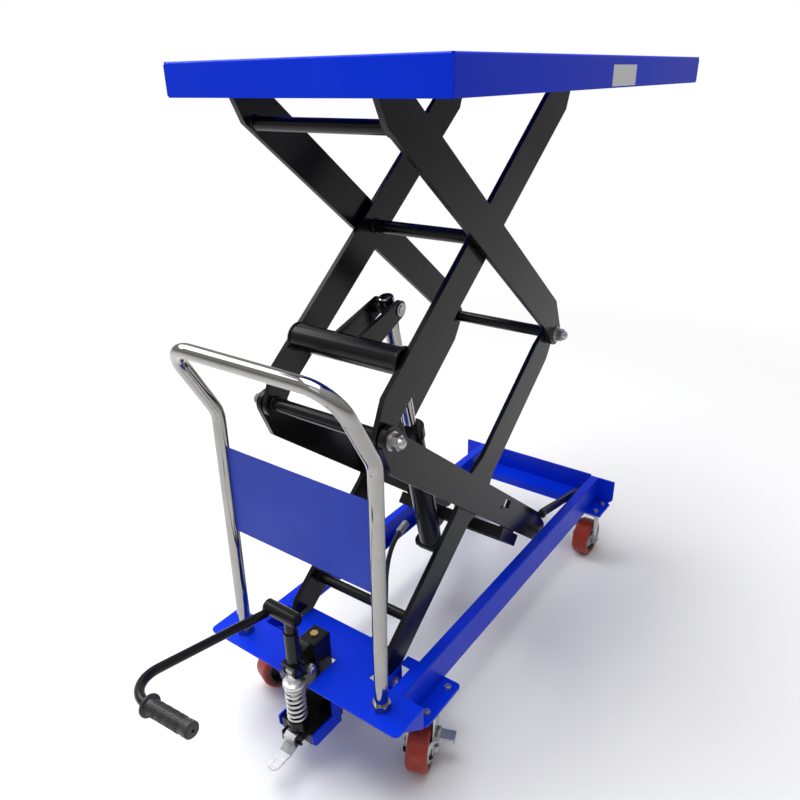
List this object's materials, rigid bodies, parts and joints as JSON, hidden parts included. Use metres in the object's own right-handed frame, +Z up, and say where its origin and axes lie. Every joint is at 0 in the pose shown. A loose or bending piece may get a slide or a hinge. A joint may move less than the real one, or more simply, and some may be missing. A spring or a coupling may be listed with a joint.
{
  "type": "scissor lift table",
  "caption": "Wheeled manual lift table with a double scissor, a hydraulic ram worked by a foot pump, a push handle and a flat steel platform.",
  "frame": {"origin": "on the floor, under the middle of the object's length and width", "axes": "+X towards the far end, away from the push handle; +Y to the left; +Z up"},
  "size_m": [1.4168, 0.52, 1.2521],
  "materials": {
    "blue_paint": "powder coat, semi-gloss",
    "blue_panel": "powder coat, satin",
    "black_paint": "semi-gloss paint",
    "chrome": "polished",
    "steel": "turned",
    "zinc": "zinc plated",
    "red_tread": "satin polyurethane",
    "hub": "turned, with a dust cover",
    "black_rubber": "matte",
    "brass": "satin"
  },
  "bodies": {
    "base_frame": {"side_rails": "blue_paint", "far_cross_member": "blue_paint", "front_deck": "blue_paint", "caster_mounting_plates": "blue_paint", "base_pivot_pins": "steel", "push_handle": "chrome", "handle_nuts": "chrome", "handle_panel": "blue_panel", "fixed_caster_forks": "zinc", "caster_bolts": "zinc", "swivel_caster_plates": "zinc", "pump_body": "black_paint", "lever_pivot_bolt": "zinc", "pump_filler_plug": "brass", "pump_bracket": "blue_paint", "pump_return_spring": "steel", "hydraulic_hose": "black_rubber"},
    "lower_inner_scissor": {"left_lower_inner_arm": "black_paint", "right_lower_inner_arm": "black_paint", "lower_inner_cross_tubes": "black_paint"},
    "lower_outer_scissor": {"left_lower_outer_arm": "black_paint", "right_lower_outer_arm": "black_paint", "lower_pivot_shafts": "steel", "base_roller_axles": "steel", "ram_cross_beam": "black_paint"},
    "upper_inner_scissor": {"left_upper_inner_arm": "black_paint", "right_upper_inner_arm": "black_paint", "upper_inner_cross_tubes": "black_paint", "torsion_tube": "black_paint", "ram_head_pin": "steel", "platform_roller_axles": "steel"},
    "upper_outer_scissor": {"left_upper_outer_arm": "black_paint", "right_upper_outer_arm": "black_paint", "upper_outer_cross_tube": "black_paint", "upper_pivot_shafts": "steel"},
    "platform": {"platform_top": "blue_paint", "platform_underframe": "blue_paint"},
    "ram_piston_rod": {"ram_rod": "chrome"},
    "ram_cylinder": {"ram_barrel": "black_paint"},
    "safety_prop": {"safety_prop": "black_paint"},
    "pump_pedal": {"pump_pedal_lever": "black_paint", "pump_pedal_grip": "black_rubber"},
    "pump_plunger": {"pump_piston": "steel"},
    "release_pedal": {"release_pedal": "zinc"},
    "left_base_roller": {"left_base_roller": "steel"},
    "left_platform_roller": {"left_platform_roller": "steel"},
    "left_rear_wheel": {"left_rear_wheel_tread": "red_tread", "left_rear_wheel_hub": "hub"},
    "left_swivel_caster": {"left_swivel_fork": "zinc"},
    "left_front_wheel": {"left_front_wheel_tread": "red_tread", "left_front_wheel_hub": "hub"},
    "left_brake": {"left_brake_pedal": "zinc"},
    "right_base_roller": {"right_base_roller": "steel"},
    "right_platform_roller": {"right_platform_roller": "steel"},
    "right_rear_wheel": {"right_rear_wheel_tread": "red_tread", "right_rear_wheel_hub": "hub"},
    "right_swivel_caster": {"right_swivel_fork": "zinc"},
    "right_front_wheel": {"right_front_wheel_tread": "red_tread", "right_front_wheel_hub": "hub"},
    "right_brake": {"right_brake_pedal": "zinc"}
  },
  "joints": [
    {"name": "lift", "type": "hinge", "parent": "base_frame", "child": "lower_inner_scissor", "pos_m": [-0.27657, 0, 0.1868], "axis": [0, -1, 0], "range_deg": [-32.5, 7]},
    {"name": "lower_scissor_centre", "type": "hinge", "parent": "lower_inner_scissor", "child": "lower_outer_scissor", "pos_m": [0.03069, 0, 0.4468], "axis": [0, -1, 0], "range_deg": [-14.05, 65.05]},
    {"name": "middle_pivot", "type": "hinge", "parent": "lower_outer_scissor", "child": "upper_inner_scissor", "pos_m": [-0.27657, 0, 0.7068], "axis": [0, -1, 0], "range_deg": [-65.05, 14.05]},
    {"name": "upper_scissor_centre", "type": "hinge", "parent": "upper_inner_scissor", "child": "upper_outer_scissor", "pos_m": [0.03069, 0, 0.9668], "axis": [0, -1, 0], "range_deg": [-14.05, 65.05]},
    {"name": "platform_pivot", "type": "hinge", "parent": "upper_outer_scissor", "child": "platform", "pos_m": [-0.27657, 0, 1.2268], "axis": [0, -1, 0], "range_deg": [-32.55, 7.05]},
    {"name": "ram_head_pivot", "type": "hinge", "parent": "upper_inner_scissor", "child": "ram_piston_rod", "pos_m": [-0.09234, 0, 0.85536], "axis": [0, -1, 0], "range_deg": [-14.02, 64.89]},
    {"name": "ram_stroke", "type": "slide", "parent": "ram_piston_rod", "child": "ram_cylinder", "axis": [0.2356, 0, -0.9719], "range_m": [-0.254, 0.0551]},
    {"name": "left_base_roller_spin", "type": "hinge", "parent": "lower_outer_scissor", "child": "left_base_roller", "pos_m": [0.33794, 0.1705, 0.1868], "axis": [0, 1, 0], "continuous": true},
    {"name": "left_platform_roller_spin", "type": "hinge", "parent": "upper_inner_scissor", "child": "left_platform_roller", "pos_m": [0.33794, 0.1475, 1.2268], "axis": [0, 1, 0], "continuous": true},
    {"name": "left_rear_wheel_spin", "type": "hinge", "parent": "base_frame", "child": "left_rear_wheel", "pos_m": [0.57243, 0.178, 0.05], "axis": [0, 1, 0], "continuous": true},
    {"name": "left_swivel", "type": "hinge", "parent": "base_frame", "child": "left_swivel_caster", "pos_m": [-0.24007, 0.178, 0.135], "axis": [0, 0, 1], "continuous": true},
    {"name": "left_front_wheel_spin", "type": "hinge", "parent": "left_swivel_caster", "child": "left_front_wheel", "pos_m": [-0.27108, 0.18929, 0.05], "axis": [0.342, 0.9397, 0], "continuous": true},
    {"name": "left_brake_press", "type": "hinge", "parent": "left_swivel_caster", "child": "left_brake", "pos_m": [-0.24886, 0.21525, 0.077], "axis": [-0.9397, 0.342, 0], "range_deg": [0, 25]},
    {"name": "right_base_roller_spin", "type": "hinge", "parent": "lower_outer_scissor", "child": "right_base_roller", "pos_m": [0.33794, -0.1705, 0.1868], "axis": [0, 1, 0], "continuous": true},
    {"name": "right_platform_roller_spin", "type": "hinge", "parent": "upper_inner_scissor", "child": "right_platform_roller", "pos_m": [0.33794, -0.1475, 1.2268], "axis": [0, 1, 0], "continuous": true},
    {"name": "right_rear_wheel_spin", "type": "hinge", "parent": "base_frame", "child": "right_rear_wheel", "pos_m": [0.57243, -0.178, 0.05], "axis": [0, 1, 0], "continuous": true},
    {"name": "right_swivel", "type": "hinge", "parent": "base_frame", "child": "right_swivel_caster", "pos_m": [-0.24007, -0.178, 0.135], "axis": [0, 0, 1], "continuous": true},
    {"name": "right_front_wheel_spin", "type": "hinge", "parent": "right_swivel_caster", "child": "right_front_wheel", "pos_m": [-0.27108, -0.18929, 0.05], "axis": [-0.342, 0.9397, 0], "continuous": true},
    {"name": "right_brake_press", "type": "hinge", "parent": "right_swivel_caster", "child": "right_brake", "pos_m": [-0.24886, -0.21525, 0.077], "axis": [0.9397, 0.342, 0], "range_deg": [0, 25]},
    {"name": "pedal_stroke", "type": "hinge", "parent": "base_frame", "child": "pump_pedal", "pos_m": [-0.38257, 0, 0.243], "axis": [0, -1, 0], "range_deg": [0, 35], "stiffness_Nm_per_rad": 20, "springref_deg": -68.75},
    {"name": "plunger_stroke", "type": "slide", "parent": "base_frame", "child": "pump_plunger", "axis": [0, 0, -1], "range_m": [0, 0.01857], "deforming": ["pump_return_spring"]},
    {"name": "release_press", "type": "hinge", "parent": "base_frame", "child": "release_pedal", "pos_m": [-0.42957, 0, 0.094], "axis": [0, -1, 0], "range_deg": [0, 8], "stiffness_Nm_per_rad": 1.5, "springref_deg": -28.65},
    {"name": "safety_prop_swing", "type": "hinge", "parent": "base_frame", "child": "safety_prop", "pos_m": [0.59143, -0.154, 0.1935], "axis": [0, 1, 0], "range_deg": [0, 70]}
  ],
  "couplings": [
    {"joint": "lower_scissor_centre", "follows": "lift", "ratio": -2},
    {"joint": "middle_pivot", "follows": "lift", "ratio": 2},
    {"joint": "upper_scissor_centre", "follows": "lift", "ratio": -2},
    {"joint": "platform_pivot", "follows": "lift", "ratio": 1},
    {"joint": "ram_head_pivot", "follows": "lift", "ratio": -1.995},
    {"joint": "ram_stroke", "follows": "lift", "m_per_rad": 0.4469},
    {"joint": "plunger_stroke", "follows": "pedal_stroke", "m_per_rad": 0.02958}
  ]
}
